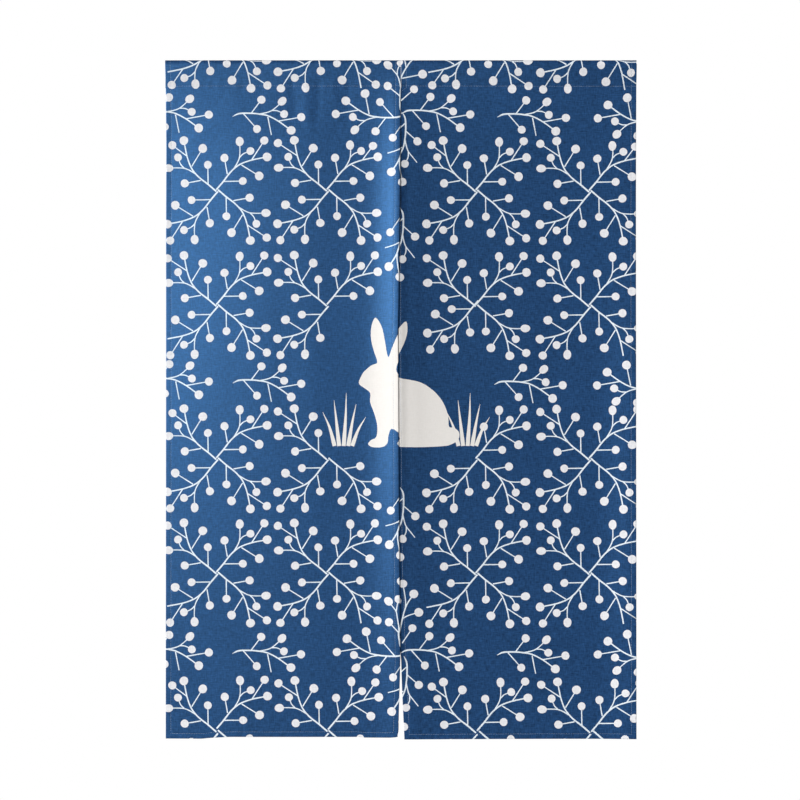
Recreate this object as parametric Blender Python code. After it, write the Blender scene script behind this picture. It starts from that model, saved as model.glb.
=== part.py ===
# A noren: a split doorway curtain of two cloth panels, hanging from a rod pocket.
# Metres, +Z up. The front faces -Y. The origin is the middle of the top edge,
# where a rod in the pocket carries the cloth.

import math

import bmesh
import bpy

# The cloth
CLOTH = 0.0012            # thickness of one layer
GAP = 0.0004              # air between the two panels where they lap

# The rod pocket: the top of each panel turned to the back and sewn down
ROD_WRAP = 0.0070         # inner radius of the cloth round the rod
POCKET_DEPTH = 0.0455     # top edge down to the pocket's stitch line
FLAP_END = 0.0490         # top edge down to the end of the turned flap
ROD_LOW = 0.0160          # the rod keeps the pocket straight down to here
POCKET_FLAT_STEPS = 3     # faces up each straight side of the pocket
POCKET_ARC_STEPS = 8      # faces over the rod

# The seam and the slit between the panels. The pockets meet end to end, and below
# them the right panel passes behind the left one.
SEAM_END = 0.0950         # the panels are sewn together down to here
LAP_FADE = 0.0300         # width over which the right panel comes back to the common surface
SLIT_LEAN = 0.0030        # how much further back it hangs at the slit, below the seam
SLIT_LEAN_WIDTH = 0.0700  # width over which that fades

# Columns across a panel: close together at the slit, then even
SLIT_COLUMNS = (0.0, 0.0035, 0.0070, 0.0110, 0.0160, 0.0220, 0.0290, 0.0370, 0.0460, 0.0560)
COLUMN_PITCH = 0.0155

# Rows down a panel, below the flap, as drops from the top edge
ROW_DROPS = (0.056, 0.072, 0.095, 0.130, 0.180, 0.245, 0.330, 0.430, 0.540,
             0.655, 0.770, 0.880, 0.980, 1.060, 1.130)

# How far forward each fold stands, in millimetres, at seven drops from the top edge
FOLD_DROPS = (ROD_LOW, 0.05, 0.25, 0.50, 0.75, 1.00, 1.20)
FOLDS = (
    # fold, across (m), forward at each of the drops (mm)
    ("left edge", -0.416, (0.0, -2.5, -12.0, -13.0, -10.5, -7.5, -6.0)),
    ("left slope", -0.340, (0.0, -0.5, -4.5, -5.5, -4.5, -4.0, -3.5)),
    ("left swell", -0.245, (0.0, 1.0, 3.0, 2.0, 1.0, -0.5, -0.5)),
    ("left fall", -0.165, (0.0, 0.5, 5.0, 4.0, 2.5, 0.5, 0.5)),
    ("left trough", -0.090, (0.0, -0.5, 3.0, 3.0, 2.0, 0.5, 1.0)),
    ("flank foot", -0.062, (0.0, 0.0, 3.2, 3.5, 2.5, 1.0, 1.5)),
    ("slit flank", -0.036, (0.0, 0.8, 7.0, 8.0, 6.8, 4.2, 3.5)),
    ("slit edge", -0.003, (0.0, 4.8, 18.5, 19.5, 17.0, 11.5, 8.0)),
    ("right flank", 0.012, (0.0, 3.2, 13.5, 14.5, 12.5, 9.0, 6.5)),
    ("right shoulder", 0.060, (0.0, 0.5, 4.0, 4.0, 3.0, 2.5, 2.5)),
    ("right fall", 0.160, (0.0, -1.0, -6.0, -6.5, -6.0, -3.5, -2.0)),
    ("right trough", 0.345, (0.0, -3.2, -14.0, -14.5, -13.0, -9.0, -6.5)),
    ("right edge", 0.416, (0.0, -2.8, -12.5, -10.5, -6.5, -2.5, 1.0)),
)

# Side edges: where each one lies across (m) at some drops from the top edge (m)
LEFT_OUTER_EDGE = ((0.0, -0.4165), (0.028, -0.4160), (0.150, -0.4152), (0.300, -0.4160),
                   (1.20, -0.4161))
LEFT_SLIT_EDGE = ((0.0, -0.0002), (0.500, -0.0009), (0.900, -0.0022), (1.045, -0.0028),
                  (1.20, -0.0041))
RIGHT_SLIT_EDGE = ((0.0, 0.0002), (0.049, 0.0002), (0.056, -0.0070), (0.500, -0.0052),
                   (0.900, -0.0036), (1.045, -0.0026), (1.20, 0.0049))
RIGHT_OUTER_EDGE = ((0.0, 0.4161), (1.20, 0.4161))

# Hems: the drop of the lower edge (m) at some places across (m)
LEFT_HEM = ((-0.416, 1.1984), (-0.352, 1.1984), (-0.336, 1.1957), (-0.302, 1.1940),
            (-0.076, 1.1940), (-0.062, 1.1957), (-0.020, 1.1957), (-0.004, 1.1930))
RIGHT_HEM = ((0.004, 1.1992), (0.416, 1.1993))

LEFT_BLUE = (0.055, 0.135, 0.265)
RIGHT_BLUE = (0.045, 0.110, 0.215)
CLOTH_ROUGHNESS = 0.85
SHARP_ANGLE = 40.0        # degrees between faces that stay an edge


def along(table, place):
    """The value at a place, read in straight lines from pairs of (place, value)."""
    if place <= table[0][0]:
        return table[0][1]
    for (low, first), (high, last) in zip(table, table[1:]):
        if place <= high:
            return first + (last - first) * (place - low) / (high - low)
    return table[-1][1]


def soft_step(share):
    """0 up to share 0, 1 from share 1, and a smooth rise between."""
    share = min(max(share, 0.0), 1.0)
    return share * share * (3.0 - 2.0 * share)


def smooth(places, values, place):
    """A smooth curve through the points that never swings past them."""
    place = min(max(place, places[0]), places[-1])
    steps = [(v1 - v0) / (p1 - p0) for p0, p1, v0, v1
             in zip(places, places[1:], values, values[1:])]
    slopes = [0.0]
    for before, after in zip(steps, steps[1:]):
        slopes.append(0.0 if before * after <= 0.0 else 2.0 * before * after / (before + after))
    slopes.append(steps[-1])
    slopes[0] = steps[0]
    k = max(i for i in range(len(places) - 1) if place >= places[i])
    width = places[k + 1] - places[k]
    t = (place - places[k]) / width
    start, end = values[k], values[k + 1]
    return (start * (1 + 2 * t) * (1 - t) ** 2 + end * t * t * (3 - 2 * t)
            + width * (slopes[k] * t * (1 - t) ** 2 - slopes[k + 1] * t * t * (1 - t)))


def forward(across, drop):
    """How far the folds bring the cloth forward at a place."""
    here = [smooth(FOLD_DROPS, heights, drop) for _, _, heights in FOLDS]
    return smooth([place for _, place, _ in FOLDS], here, across) / 1000.0


def behind_left(across, drop):
    """How far the right panel lies behind the common surface: under the lap, then along the slit."""
    tucked = soft_step((drop - ROD_LOW) / (POCKET_DEPTH - ROD_LOW))
    lap = (CLOTH + GAP) * tucked * (1.0 - soft_step(across / LAP_FADE))
    lean = SLIT_LEAN * soft_step((drop - SEAM_END) / SEAM_END)
    return lap + lean * (1.0 - soft_step(across / SLIT_LEAN_WIDTH))


def pocket_outline(thickness):
    """The pocket's section from its foot, up the front, over the rod and down the back.

    Each point is (back, drop). The straight sides are tangents from the foot to the round
    of the rod, and a thickness moves every point out from the rod.
    """
    centre = CLOTH + ROD_WRAP
    lean = math.asin(ROD_WRAP / (POCKET_DEPTH - centre))
    out_back, out_drop = thickness * math.cos(lean), thickness * math.sin(lean)
    touch = (ROD_WRAP * math.cos(lean), centre + ROD_WRAP * math.sin(lean))
    side = []
    for k in range(1, POCKET_FLAT_STEPS):
        rise = k / POCKET_FLAT_STEPS
        drop = POCKET_DEPTH + (touch[1] - POCKET_DEPTH) * rise
        side.append((touch[0] * rise + out_back, drop + out_drop))
    arc = []
    for k in range(POCKET_ARC_STEPS + 1):
        angle = -lean + (math.pi + 2.0 * lean) * k / POCKET_ARC_STEPS
        radius = ROD_WRAP + thickness
        arc.append((-radius * math.cos(angle), centre - radius * math.sin(angle)))
    return [(-back, drop) for back, drop in side] + arc + side[::-1]


def panel_section(drops):
    """One column of a panel as (back, drop) pairs: its outer loop and the pocket's inner loop."""
    hole = [(0.0, POCKET_DEPTH)] + pocket_outline(0.0)
    wall = [(-CLOTH, POCKET_DEPTH)] + pocket_outline(CLOTH) + [(CLOTH, POCKET_DEPTH)]
    flap = [(CLOTH, FLAP_END), (0.0, FLAP_END)]
    front = [(-CLOTH, drop) for drop in [FLAP_END] + drops]
    back = [(0.0, drop) for drop in drops]
    return front[::-1] + wall + flap + back, hole


def make_panel(name, colour, slit_edge, outer_edge, hem, behind=None):
    """A panel as one closed body: the hanging cloth and its pocket, open at both ends."""
    width = abs(outer_edge[0][1] - slit_edge[0][1])
    even = width - SLIT_COLUMNS[-1]
    count = round(even / COLUMN_PITCH)
    distances = list(SLIT_COLUMNS) + [SLIT_COLUMNS[-1] + even * k / count for k in range(1, count + 1)]

    bm = bmesh.new()
    columns = []
    for distance in distances:
        share = distance / width
        middle = slit_edge[0][1] + share * (outer_edge[0][1] - slit_edge[0][1])
        rings = []
        for outline in panel_section([*ROW_DROPS, along(hem, middle)]):
            ring = []
            for back, drop in outline:
                across = along(slit_edge, drop) * (1.0 - share) + along(outer_edge, drop) * share
                lie = forward(across, drop) - (behind(across, drop) if behind else 0.0)
                ring.append(bm.verts.new((across, back - lie, -drop)))
            rings.append(ring)
        columns.append(rings)

    for column, following in zip(columns, columns[1:]):
        for ring, next_ring in zip(column, following):
            for k in range(len(ring)):
                n = (k + 1) % len(ring)
                bm.faces.new((ring[k], ring[n], next_ring[n], next_ring[k]))
    close_end(bm, *columns[0])
    close_end(bm, *columns[-1])

    bmesh.ops.recalc_face_normals(bm, faces=bm.faces)
    mesh = bpy.data.meshes.new(name)
    bm.to_mesh(mesh)
    bm.free()
    mesh.shade_smooth()
    mesh.set_sharp_from_angle(angle=math.radians(SHARP_ANGLE))
    mesh.materials.append(cloth_material(name, colour))
    panel = bpy.data.objects.new(name, mesh)
    bpy.context.scene.collection.objects.link(panel)


def close_end(bm, ring, hole):
    """The cut end of a panel: a strip down the hanging cloth and a band round the pocket."""
    hang = len(ROW_DROPS) + 2
    front = ring[:hang][::-1]
    wall = ring[hang:hang + len(hole) + 1]
    flap_outer, flap_inner, *rest = ring[hang + len(hole) + 1:]
    back = [flap_inner] + rest
    around = hole + [hole[0]]
    for k in range(len(hole)):
        bm.faces.new((wall[k], wall[k + 1], around[k + 1], around[k]))
    bm.faces.new((wall[0], hole[0], flap_inner, front[0]))
    bm.faces.new((hole[0], wall[-1], flap_outer, flap_inner))
    for k in range(len(front) - 1):
        bm.faces.new((front[k], back[k], back[k + 1], front[k + 1]))


def cloth_material(name, colour):
    material = bpy.data.materials.new(name + "_cloth")
    material.use_nodes = True
    shader = material.node_tree.nodes["Principled BSDF"]
    shader.inputs["Base Color"].default_value = (*colour, 1.0)
    shader.inputs["Roughness"].default_value = CLOTH_ROUGHNESS
    shader.inputs["Metallic"].default_value = 0.0
    return material


for old in list(bpy.data.objects):
    bpy.data.objects.remove(old, do_unlink=True)

make_panel("panel_left", LEFT_BLUE, LEFT_SLIT_EDGE, LEFT_OUTER_EDGE, LEFT_HEM)
make_panel("panel_right", RIGHT_BLUE, RIGHT_SLIT_EDGE, RIGHT_OUTER_EDGE, RIGHT_HEM, behind=behind_left)
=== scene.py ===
# %% [markdown]
# # A noren, the split doorway curtain
#
# This lesson dresses a plain solid model of a noren as printed cloth. The solids give the
# size and the folds. Here each panel becomes thin cloth with turned hems, a sewn rod
# pocket, stitches, a weave, and a print of berry branches that is cut into its mesh.
#
# The solids come in as a fixed frame. Nothing is fitted to it afterwards, because every
# size below is a real one, in metres, in the same frame: X across, Z up, the front at -Y,
# and the origin in the middle of the top edge.

# %% Load the frame
import math

import bpy
import numpy as np
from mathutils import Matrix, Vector
from mathutils.geometry import delaunay_2d_cdt


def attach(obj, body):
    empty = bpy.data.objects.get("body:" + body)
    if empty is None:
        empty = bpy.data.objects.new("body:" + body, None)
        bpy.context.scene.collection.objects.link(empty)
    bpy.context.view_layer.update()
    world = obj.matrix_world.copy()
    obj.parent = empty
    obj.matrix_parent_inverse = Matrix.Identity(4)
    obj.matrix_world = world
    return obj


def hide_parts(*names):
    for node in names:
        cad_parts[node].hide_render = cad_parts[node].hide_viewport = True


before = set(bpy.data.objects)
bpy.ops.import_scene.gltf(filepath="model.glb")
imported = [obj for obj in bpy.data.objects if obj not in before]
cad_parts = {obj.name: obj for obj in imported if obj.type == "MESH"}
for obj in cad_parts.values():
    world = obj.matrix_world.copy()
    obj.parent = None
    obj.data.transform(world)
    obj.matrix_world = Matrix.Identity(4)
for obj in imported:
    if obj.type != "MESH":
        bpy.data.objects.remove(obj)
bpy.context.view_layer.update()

# %% [markdown]
# ## The camera, the light and the floor
#
# The curtain is seen straight from the front. A long lens from six metres keeps its
# sides parallel, as a product photographer would. The middle of the picture lies a little
# off the middle of the cloth, so the camera is placed by that.
#
# Two lights stand to the left. A far one brightens the whole cloth evenly. A near one adds
# the shine alone: cloth that leans towards it throws its shine to the camera, and cloth that
# leans away goes dark. This is what makes such shallow folds show, and why the blue looks
# paler near the lamp. The pale surroundings fill the shadows.

# %% Camera
PIXEL = 0.001767                  # metres on the cloth for one pixel of the picture
PICTURE_PX = 800
ORIGIN_PX = (401.0, 60.3)         # where the middle of the top edge lies in the picture
CAMERA_DISTANCE = 6.0
SENSOR_MM = 36.0

view_width = PICTURE_PX * PIXEL
aim_across = (PICTURE_PX / 2 - ORIGIN_PX[0]) * PIXEL
aim_drop = (PICTURE_PX / 2 - ORIGIN_PX[1]) * PIXEL
camera = bpy.data.objects.new("camera", bpy.data.cameras.new("camera"))
camera.data.sensor_width = SENSOR_MM
camera.data.lens = SENSOR_MM * CAMERA_DISTANCE / view_width
camera.location = (aim_across, -CAMERA_DISTANCE, -aim_drop)
camera.rotation_euler = (math.pi / 2, 0.0, 0.0)
bpy.context.scene.collection.objects.link(camera)
bpy.context.scene.camera = camera
print("lens:", round(camera.data.lens, 1), "mm")

# %% Light, surroundings and floor
KEY_FROM = Vector((-1.0, -1.0, 0.38))
KEY_LEVEL = 3.45
KEY_SPREAD = math.radians(7.0)
SHINE_PLACE = Vector((-1.50, -0.92, -0.22))
SHINE_AIM = Vector((0.0, 0.0, -0.50))
SHINE_SIZE = (0.35, 0.40)
SHINE_WATTS = 97.0
FILL_LEVEL = 0.22                 # brightness of the surroundings, as the cloth sees them
BACKGROUND_LEVEL = 1.0            # and as the camera sees them
FLOOR_DROP = 2.0                  # a doorway curtain hangs two metres up
FLOOR_RADIUS = 1.6
FLOOR_COLOUR, FLOOR_ROUGHNESS = (0.8, 0.8, 0.79, 1), 0.7

key = bpy.data.objects.new("key_light", bpy.data.lights.new("key_light", "SUN"))
key.data.energy = KEY_LEVEL
key.data.angle = KEY_SPREAD
key.location = KEY_FROM
key.rotation_euler = KEY_FROM.to_track_quat("Z", "Y").to_euler()
key.visible_glossy = False
bpy.context.scene.collection.objects.link(key)

shine = bpy.data.objects.new("shine_light", bpy.data.lights.new("shine_light", "AREA"))
shine.data.shape = "RECTANGLE"
shine.data.size, shine.data.size_y = SHINE_SIZE
shine.data.energy = SHINE_WATTS
shine.location = SHINE_PLACE
shine.rotation_euler = (SHINE_PLACE - SHINE_AIM).to_track_quat("Z", "Y").to_euler()
shine.visible_diffuse = False
bpy.context.scene.collection.objects.link(shine)

world = bpy.data.worlds.new("pale_studio")
bpy.context.scene.world = world
world.use_nodes = True
sky = world.node_tree.nodes["Background"]
seen = world.node_tree.nodes.new("ShaderNodeLightPath")
level = world.node_tree.nodes.new("ShaderNodeMapRange")
level.inputs["To Min"].default_value = FILL_LEVEL
level.inputs["To Max"].default_value = BACKGROUND_LEVEL
world.node_tree.links.new(seen.outputs["Is Camera Ray"], level.inputs["Value"])
world.node_tree.links.new(level.outputs["Result"], sky.inputs["Strength"])
sky.inputs["Color"].default_value = (1.0, 1.0, 1.0, 1.0)
bpy.context.scene.view_settings.view_transform = "Standard"

bpy.ops.mesh.primitive_circle_add(vertices=96, radius=FLOOR_RADIUS, fill_type="NGON",
                                  location=(0.0, 0.0, -FLOOR_DROP))
floor = bpy.context.object
floor.name = "floor"
floor_material = bpy.data.materials.new("pale_floor")
floor_material.use_nodes = True
floor_shader = floor_material.node_tree.nodes["Principled BSDF"]
floor_shader.inputs["Base Color"].default_value = FLOOR_COLOUR
floor_shader.inputs["Roughness"].default_value = FLOOR_ROUGHNESS
floor.data.materials.append(floor_material)

# %% [markdown]
# ## The folds
#
# Cloth on a straight rod can't hang quite flat. It swells and falls away in a few broad
# waves, and here both panels come forward to a ridge at the slit. Each fold is one row of
# a short table, with how far forward it stands at seven drops. A curve that never swings
# past its points joins the rows, so a fold stays where it was put.

# %% The table of folds
ROD_LOW = 0.0160                  # the rod keeps the pocket straight down to here
EASE = 0.013                      # how far to each side a fold is softened
SLIT_RIDGE = -0.003               # but not at the slit, where it stays sharp
FOLD_DROPS = (ROD_LOW, 0.05, 0.25, 0.50, 0.75, 1.00, 1.20)
FOLDS = (
    # fold, across (m), forward at each of the drops (mm)
    ("left edge", -0.416, (0.0, -2.5, -12.0, -13.0, -10.5, -7.5, -6.0)),
    ("left slope", -0.340, (0.0, -0.5, -4.5, -5.5, -4.5, -4.0, -3.5)),
    ("left swell", -0.245, (0.0, 1.0, 3.0, 2.0, 1.0, -0.5, -0.5)),
    ("left fall", -0.165, (0.0, 0.5, 5.0, 4.0, 2.5, 0.5, 0.5)),
    ("left trough", -0.090, (0.0, -0.5, 3.0, 3.0, 2.0, 0.5, 1.0)),
    ("flank foot", -0.062, (0.0, 0.0, 3.2, 3.5, 2.5, 1.0, 1.5)),
    ("slit flank", -0.036, (0.0, 0.8, 7.0, 8.0, 6.8, 4.2, 3.5)),
    ("slit edge", -0.003, (0.0, 4.8, 18.5, 19.5, 17.0, 11.5, 8.0)),
    ("right flank", 0.012, (0.0, 3.2, 13.5, 14.5, 12.5, 9.0, 6.5)),
    ("right shoulder", 0.060, (0.0, 0.5, 4.0, 4.0, 3.0, 2.5, 2.5)),
    ("right fall", 0.160, (0.0, -1.0, -6.0, -6.5, -6.0, -3.5, -2.0)),
    ("right trough", 0.345, (0.0, -3.2, -14.0, -14.5, -13.0, -9.0, -6.5)),
    ("right edge", 0.416, (0.0, -2.8, -12.5, -10.5, -6.5, -2.5, 1.0)),
)


def smooth(places, values, at):
    """A smooth curve through the points that never swings past them, at many places at once."""
    places, at = np.asarray(places, float), np.asarray(at, float)
    values = np.asarray(values, float)
    if values.ndim == 1:
        values = np.repeat(values[:, None], len(at), 1)
    steps = np.diff(values, axis=0) / np.diff(places)[:, None]
    before, after = steps[:-1], steps[1:]
    both = np.where(before * after > 0, before + after, np.inf)
    slopes = np.concatenate([steps[:1], 2 * before * after / both, steps[-1:]])
    at = at.clip(places[0], places[-1])
    k = (np.searchsorted(places, at, side="right") - 1).clip(0, len(places) - 2)
    width, point = np.diff(places)[k], np.arange(len(at))
    t = (at - places[k]) / width
    start, end = values[k, point], values[k + 1, point]
    return (start * (1 + 2 * t) * (1 - t) ** 2 + end * t * t * (3 - 2 * t)
            + width * (slopes[k, point] * t * (1 - t) ** 2 - slopes[k + 1, point] * t * t * (1 - t)))


def soft_step(share):
    """0 up to share 0, 1 from share 1, and a smooth rise between."""
    share = np.clip(share, 0.0, 1.0)
    return share * share * (3.0 - 2.0 * share)


def broad_folds(across, drop):
    """How far the folds of the solids bring the cloth forward, a little softened."""
    rows = np.array([smooth(FOLD_DROPS, heights, drop) for _, _, heights in FOLDS])
    places = [place for _, place, _ in FOLDS]
    ease = np.minimum(EASE, np.abs(across - SLIT_RIDGE) / 2)
    beside = smooth(places, rows, across - ease) + smooth(places, rows, across + ease)
    return (smooth(places, rows, across) * 2 + beside) / 4000.0


# %% [markdown]
# ## The creases
#
# The broad waves alone look like bent card. Real cloth has small ones on top: gathers
# that start at the pocket's stitch line and die out below it, a slanting pull under the
# top left corner, and slight dents left from folding. Each is a soft ridge or trough
# between two places, and a row of the next table.

# %% The table of creases
CREASES = (
    # crease, from (across, drop), to (across, drop), half width, forward (mm)
    ("corner pull", (-0.385, 0.150), (-0.275, 0.075), 0.014, 0.5),
    ("corner pull shade", (-0.390, 0.110), (-0.300, 0.062), 0.011, -0.3),
    ("left swell crest", (-0.300, 0.130), (-0.296, 0.330), 0.022, 0.4),
    ("left swell foot", (-0.330, 0.330), (-0.322, 0.600), 0.026, 0.3),
    ("gather 1", (-0.190, 0.020), (-0.188, 0.110), 0.009, -0.8),
    ("gather 2", (-0.168, 0.015), (-0.164, 0.130), 0.008, 0.5),
    ("gather 3", (-0.146, 0.020), (-0.147, 0.120), 0.008, -0.7),
    ("gather 4", (-0.120, 0.020), (-0.118, 0.085), 0.009, 0.5),
    ("gather 5", (-0.094, 0.025), (-0.096, 0.120), 0.010, -0.5),
    ("gather 6", (-0.066, 0.020), (-0.064, 0.090), 0.008, 0.2),
    ("gather 7", (-0.222, 0.020), (-0.225, 0.080), 0.010, 0.2),
    ("gather 8", (-0.255, 0.020), (-0.252, 0.070), 0.011, -0.2),
    ("gather 9", (-0.300, 0.020), (-0.300, 0.075), 0.012, 0.2),
    ("gather 10", (-0.345, 0.020), (-0.342, 0.070), 0.010, -0.2),
    ("gather 11", (0.040, 0.020), (0.044, 0.100), 0.010, 0.2),
    ("gather 12", (0.072, 0.020), (0.076, 0.085), 0.009, -0.2),
    ("gather 13", (0.118, 0.020), (0.118, 0.090), 0.011, 0.2),
    ("gather 14", (0.160, 0.020), (0.163, 0.110), 0.011, -0.2),
    ("gather 15", (0.205, 0.020), (0.206, 0.085), 0.010, 0.2),
    ("gather 16", (0.262, 0.020), (0.266, 0.115), 0.013, -0.3),
    ("gather 17", (0.305, 0.020), (0.308, 0.080), 0.010, 0.2),
    ("gather 18", (0.352, 0.020), (0.350, 0.095), 0.011, -0.2),
    ("gather 19", (0.388, 0.020), (0.388, 0.085), 0.010, 0.2),
    ("left edge curl", (-0.418, 0.050), (-0.418, 0.420), 0.007, 0.8),
    ("left long trough", (-0.205, 0.200), (-0.200, 0.760), 0.020, -0.4),
    ("left long ridge", (-0.150, 0.420), (-0.158, 0.980), 0.020, 0.4),
    ("left low trough", (-0.260, 0.760), (-0.250, 1.080), 0.024, -0.4),
    ("left hem lift", (-0.300, 1.070), (-0.285, 1.190), 0.030, 0.5),
    ("left hem dip", (-0.120, 1.090), (-0.118, 1.190), 0.030, -0.4),
    ("right long ridge", (0.215, 0.180), (0.222, 0.640), 0.024, 0.4),
    ("right long trough", (0.262, 0.420), (0.258, 0.940), 0.024, -0.4),
    ("right edge rise", (0.405, 0.400), (0.405, 1.100), 0.030, 1.8),
    ("right hem pull", (0.028, 1.105), (0.070, 1.190), 0.014, 0.5),
    ("right hem dip", (0.185, 1.080), (0.190, 1.190), 0.028, -0.4),
    ("right hem lift", (0.330, 1.060), (0.335, 1.190), 0.030, 0.5),
)


CREASE_START = 0.03               # the creases grow over this much drop, below the rod
CREASE_END = 0.25                 # share of its length over which a crease fades at each end
CREASE_FADE = 1.6                 # how soon it fades past there


def creases(across, drop):
    """How far the creases bring the cloth forward: each fades out round its own line."""
    total = np.zeros(len(across))
    for _, start, end, half, height in CREASES:
        along = np.subtract(end, start)
        length = np.hypot(*along)
        ahead = ((across - start[0]) * along[0] + (drop - start[1]) * along[1]) / length ** 2
        aside = ((across - start[0]) * along[1] - (drop - start[1]) * along[0]) / length
        past = np.maximum(np.abs(ahead - 0.5) - CREASE_END, 0.0) / CREASE_END
        total += height * np.exp(-(aside / half) ** 2 - past ** 2 * CREASE_FADE)
    return total * soft_step((drop - ROD_LOW) / CREASE_START) / 1000.0


# %% [markdown]
# ## The cut of the panels
#
# Each panel is described flat first, as a cutter sees it. A place on it has two numbers:
# metres across, and metres down the cloth from the top edge. Above the top edge the second
# number goes on below zero, over the rod and down the flap at the back.
#
# The edges are the measured ones: the slit closes towards the top, where the panels lap,
# bends a little to the left below, and opens by about ten millimetres at the bottom. The
# left hem is not quite level.

# %% The outline of each panel
POCKET_DEPTH = 0.0455             # top edge down to the pocket's stitch line
FLAP_END = 0.0490                 # top edge down to the end of the flap at the back
SEAM_END = 0.0950                 # the panels are sewn together down to here
HEM_WIDTH = 0.0090                # edge to stitch line, on the sides and along the bottom
HEM_NOMINAL = 1.20

PANELS = {
    "left": {
        "outer": ((0.0, -0.4165), (0.028, -0.4160), (0.150, -0.4152), (0.300, -0.4160), (1.20, -0.4161)),
        "slit": ((0.0, -0.0002), (0.095, -0.0008), (0.250, -0.0018), (0.335, -0.0032), (0.425, -0.0040),
                 (0.480, -0.0052), (0.670, -0.0042), (0.990, -0.0018), (1.060, -0.0011), (1.093, -0.0018),
                 (1.126, -0.0028), (1.159, -0.0038), (1.188, -0.0042), (1.193, -0.0049), (1.1955, -0.0060)),
        "hem": ((-0.416, 1.1990), (-0.352, 1.1992), (-0.336, 1.1975), (-0.302, 1.1958),
                (-0.076, 1.1955), (-0.062, 1.1967), (-0.020, 1.1965), (-0.010, 1.1956), (-0.004, 1.1943)),
    },
    "right": {
        "slit": ((0.0, 0.0002), (0.049, 0.0002), (0.056, -0.0095), (0.600, -0.0095), (0.900, -0.0065),
                 (1.045, -0.0012), (1.060, 0.0003), (1.104, 0.0016), (1.137, 0.0031), (1.20, 0.0061)),
        "outer": ((0.0, 0.4161), (1.20, 0.4161)),
        "hem": ((0.004, 1.1996), (0.416, 1.1996)),
    },
}


def read(table, at):
    """A value read in straight lines from a table of (place, value)."""
    places, values = zip(*table)
    return np.interp(at, places, values)


def sides(panel, drop):
    """The left and right edge of a panel at a drop."""
    one, other = read(PANELS[panel]["outer"], drop), read(PANELS[panel]["slit"], drop)
    return np.minimum(one, other), np.maximum(one, other)


# %% [markdown]
# ## From flat cloth to hanging cloth
#
# A function turns a flat place into a place in space. Below the pocket it only pushes the
# cloth forward by the folds and creases. In the pocket it rolls the cloth round the rod:
# up a straight side, over the round, and down the other side. The same function gives the
# front, the back and the stitches, so they can't come apart.
#
# The cloth's two faces lie half a thickness to either side. At the side and bottom edges
# the cloth is turned in twice, so the back stands out there, the edge is round, and the
# row of stitches presses a shallow groove.

# %% Round the rod
SHEET = 0.00050                   # one layer of the cloth
ROD_CENTRE = 0.0082               # top edge down to the middle of the rod
WRAP = ROD_CENTRE - SHEET / 2     # from there to the middle of the cloth
PLY = 0.0003                      # half the distance between the plies at the stitch line

reach = math.hypot(POCKET_DEPTH - ROD_CENTRE, PLY)
lean = math.asin(WRAP / reach) - math.asin(PLY / reach)
side_length = math.sqrt(reach ** 2 - WRAP ** 2)
touch_drop = ROD_CENTRE + WRAP * math.sin(lean)
round_length = WRAP * (math.pi + 2 * lean)
flat_top = touch_drop - round_length - side_length - (FLAP_END - POCKET_DEPTH)
print("flat cloth starts", round(-flat_top, 4), "m above the top edge")


def pocket(run):
    """Where the middle of the cloth lies in section: back from the rod's plane, and down."""
    run = np.asarray(run, float)
    slope = (WRAP * math.cos(lean) - PLY) / (POCKET_DEPTH - touch_drop)
    hanging = np.full(len(run), -PLY)
    front_wall = -PLY - (POCKET_DEPTH - run) * slope
    turn = (touch_drop - run) / WRAP - lean
    past = touch_drop - round_length - run
    share = past / side_length
    back_wall = WRAP * math.cos(lean) + (PLY - WRAP * math.cos(lean)) * np.minimum(share, 1.0)
    back_drop = np.where(share < 1.0, touch_drop + (POCKET_DEPTH - touch_drop) * share,
                         POCKET_DEPTH + past - side_length)
    places = [run >= POCKET_DEPTH, run >= touch_drop, past < 0.0]
    back = np.select(places, [hanging, front_wall, -WRAP * np.cos(turn)], back_wall)
    drop = np.select(places, [run, run, ROD_CENTRE - WRAP * np.sin(turn)], back_drop)
    return back, drop


# %% The middle of the cloth in space
LAP = 0.0014                      # from the left panel's cloth to the right panel's, where they lap
LAP_FADE = 0.0300                 # width over which the right panel comes back to the common surface
SLIT_LEAN = 0.0008                # how much further back it hangs at the slit, below the seam
SLIT_LEAN_WIDTH = 0.0700


def middle(panel, across, run):
    """The middle of the cloth as points in space, for flat places."""
    back, drop = pocket(run)
    back = back - broad_folds(across, drop) - creases(across, drop)
    if panel == "right":
        tucked = soft_step((drop - ROD_LOW) / (POCKET_DEPTH - ROD_LOW))
        back = back + LAP * tucked * (1.0 - soft_step(across / LAP_FADE))
        opened = soft_step((drop - SEAM_END) / SEAM_END)
        back = back + SLIT_LEAN * opened * (1.0 - soft_step(across / SLIT_LEAN_WIDTH))
    return np.stack([across, back, -drop], 1)


def outward(panel, across, run, face, step=0.0004):
    """The direction that the cloth's front looks in, from the surface a small step away."""
    def at(du, dv):
        return face(panel, across + du, run + dv)
    over = at(step, 0) - at(-step, 0)
    down = at(0, step) - at(0, -step)
    normal = np.cross(down, over)
    return normal / np.linalg.norm(normal, axis=1)[:, None]


# %% The two faces of the cloth
HEM_EXTRA = 0.00075               # the turned layers, behind the hem
HEM_STEP = 0.0008                 # width of the step where they end
FLAP_FADE = 0.0040                # the side hems thicken over this much drop, below the flap
GROOVE = 0.00013                  # depth of the groove under a row of stitches
GROOVE_WIDTH = 0.0012
PUCKER = 0.00009                  # height of the ripples that the stitching draws in
PUCKER_REACH = 0.0100
SIDE_RIPPLES = (395, 251)         # radians for each metre down the side rows, for two waves
LOW_RIPPLES = (372, 233)          # and for each metre along the level rows


def edge_distances(panel, across, run):
    """Distances to the nearest side edge, to the lower hem and to the flap's end."""
    _, drop = pocket(run)
    low, high = sides(panel, np.maximum(drop, 0.0))
    return (np.minimum(across - low, high - across),
            read(PANELS[panel]["hem"], across) - run,
            run - flat_top)


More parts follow.
